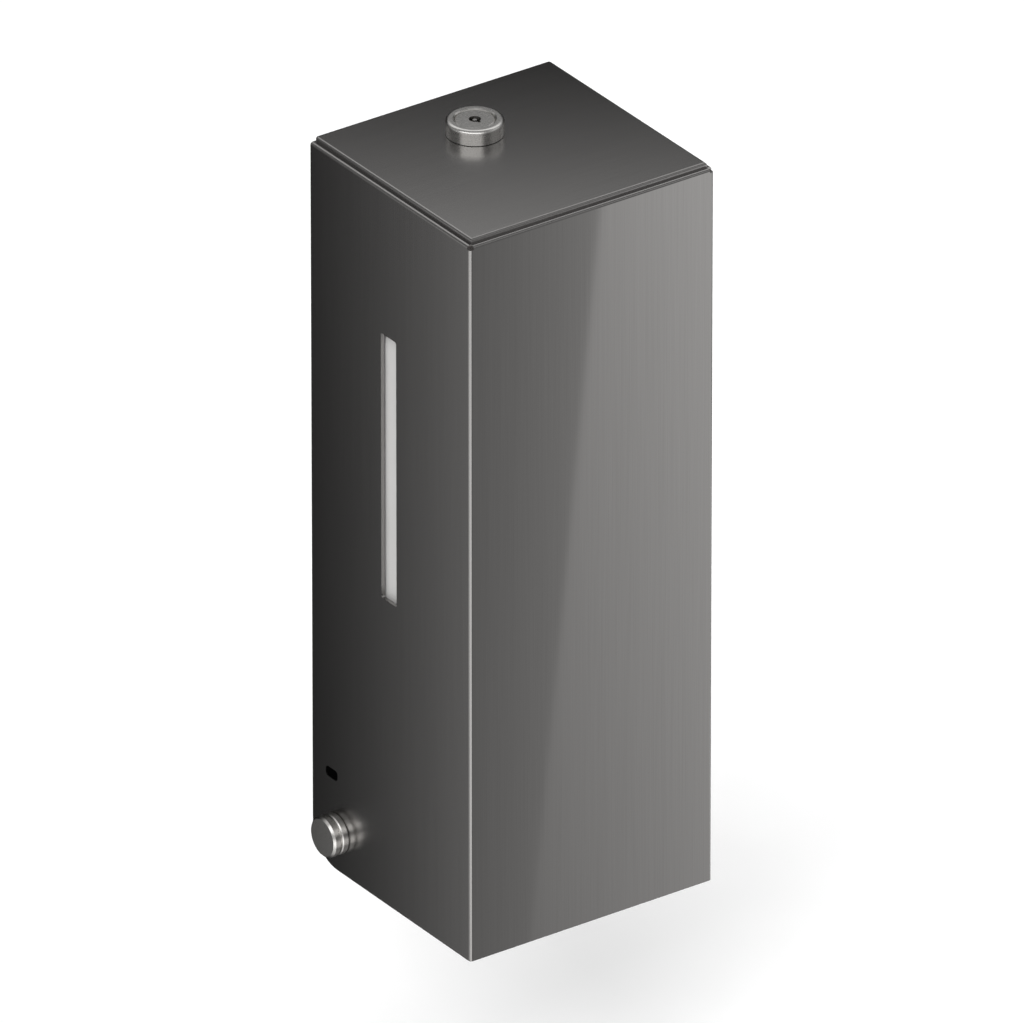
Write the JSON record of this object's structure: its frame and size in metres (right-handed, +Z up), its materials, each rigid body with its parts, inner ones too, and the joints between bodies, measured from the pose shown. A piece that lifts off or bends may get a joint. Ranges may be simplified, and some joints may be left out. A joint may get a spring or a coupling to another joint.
{
  "type": "wall mounted soap dispenser",
  "caption": "Tall rectangular touch-free wall soap dispenser in dark brushed steel, with lockable hinged cover, level slot and bottom nozzle.",
  "frame": {"origin": "centre of the four wall screws, on the wall plane", "axes": "+X to the user's right, +Y into the wall, +Z up"},
  "size_m": [0.1226, 0.1028, 0.3058],
  "materials": {
    "pvd_steel": "satin dark vapour-coated stainless steel, fine vertical brushing",
    "pvd_steel_top": "satin dark vapour-coated stainless steel, brushing across the plate",
    "zinc_steel": "zinc plated",
    "frosted_window": "frosted translucent",
    "black_rubber": "matt",
    "black_plastic": "fine moulded grain",
    "port_black": "matt black",
    "lock_metal": "turned, dark nickel",
    "pivot_metal": "turned, dark nickel",
    "brass": "machined",
    "stainless": "mill finish",
    "ir_window": "dark infrared-pass plastic",
    "circuit_board": "solder mask",
    "bottle_plastic": "translucent polyethylene",
    "white_plastic": "moulded",
    "grey_rubber": "silicone",
    "gear_plastic": "moulded acetal",
    "motor_steel": "plated can",
    "battery_wrap": "plain foil sleeve",
    "chip_epoxy": "moulded",
    "switch_steel": "plated"
  },
  "bodies": {
    "wall_unit": {"lock_striker": "stainless", "striker_rivets": "zinc_steel", "wall_plate": "stainless", "pivot_bolt_left": "pivot_metal", "pivot_bolt_right": "pivot_metal", "pivot_cap_left": "pivot_metal", "pivot_cap_right": "pivot_metal", "pivot_washer_left": "black_plastic", "pivot_washer_right": "black_plastic", "pivot_nuts": "zinc_steel", "guide_pads": "black_rubber", "chassis": "black_plastic", "chassis_screws": "zinc_steel", "base_tray": "black_plastic", "base_screws": "zinc_steel", "sensor_window": "ir_window", "sensor_board": "circuit_board", "ir_emitter": "ir_window", "ir_receiver": "ir_window", "refill_bottle": "bottle_plastic", "cap_gasket": "black_rubber", "bottle_cap": "white_plastic", "pump_cylinder": "white_plastic", "inlet_ball": "stainless", "pump_spring": "zinc_steel", "guide_rods": "stainless", "gear_frame": "black_plastic", "gear_axle": "stainless", "motor": "motor_steel", "battery_box": "black_plastic", "battery_door": "black_plastic", "batteries": "battery_wrap", "battery_contacts": "zinc_steel", "control_board": "circuit_board", "wiring_leads": "black_rubber", "control_chip": "chip_epoxy", "board_connectors": "white_plastic", "power_switch": "switch_steel"},
    "cover": {"cover_shell": "pvd_steel", "top_plate": "pvd_steel_top", "top_plate_studs": "zinc_steel", "top_plate_nuts": "zinc_steel", "level_window": "frosted_window", "window_gasket": "grey_rubber", "window_bezel": "black_plastic", "port_plug": "port_black", "lock_gasket": "black_rubber", "lock_housing": "lock_metal", "lock_nut": "brass"},
    "lock_plug": {"lock_plug": "lock_metal", "lock_cam": "zinc_steel", "cam_screw": "zinc_steel"},
    "pump_drive": {"rack_yoke": "gear_plastic", "pump_plunger": "white_plastic", "piston_seal": "black_rubber", "nozzle_tip": "grey_rubber"},
    "reduction_gear": {"reduction_gear": "gear_plastic"},
    "motor_rotor": {"motor_pinion": "brass", "motor_shaft": "stainless"},
    "switch_slider": {"switch_slider": "black_plastic"}
  },
  "joints": [
    {"name": "cover_hinge", "type": "hinge", "parent": "wall_unit", "child": "cover", "pos_m": [0, -0.0168, -0.1342], "axis": [1, 0, 0], "range_deg": [0, 90]},
    {"name": "lock_turn", "type": "hinge", "parent": "cover", "child": "lock_plug", "pos_m": [-0.0033, -0.0329, 0.1496], "axis": [0, 0, -1], "range_deg": [0, 90]},
    {"name": "pump_slide", "type": "slide", "parent": "wall_unit", "child": "pump_drive", "axis": [0, 0, 1], "range_m": [0, 0.01], "stiffness_N_per_m": 300, "springref_m": -0.006, "deforming": ["pump_spring"]},
    {"name": "reduction_spin", "type": "hinge", "parent": "wall_unit", "child": "reduction_gear", "pos_m": [0, -0.0549, -0.092], "axis": [1, 0, 0], "range_deg": [-83, 1]},
    {"name": "motor_spin", "type": "hinge", "parent": "wall_unit", "child": "motor_rotor", "pos_m": [0, -0.038, -0.092], "axis": [1, 0, 0], "range_deg": [-1, 248]},
    {"name": "switch_slide", "type": "slide", "parent": "wall_unit", "child": "switch_slider", "axis": [1, 0, 0], "range_m": [0, 0.0025]}
  ],
  "couplings": [
    {"joint": "reduction_spin", "follows": "pump_slide", "rad_per_m": -142.86},
    {"joint": "motor_spin", "follows": "pump_slide", "rad_per_m": 428.57}
  ]
}
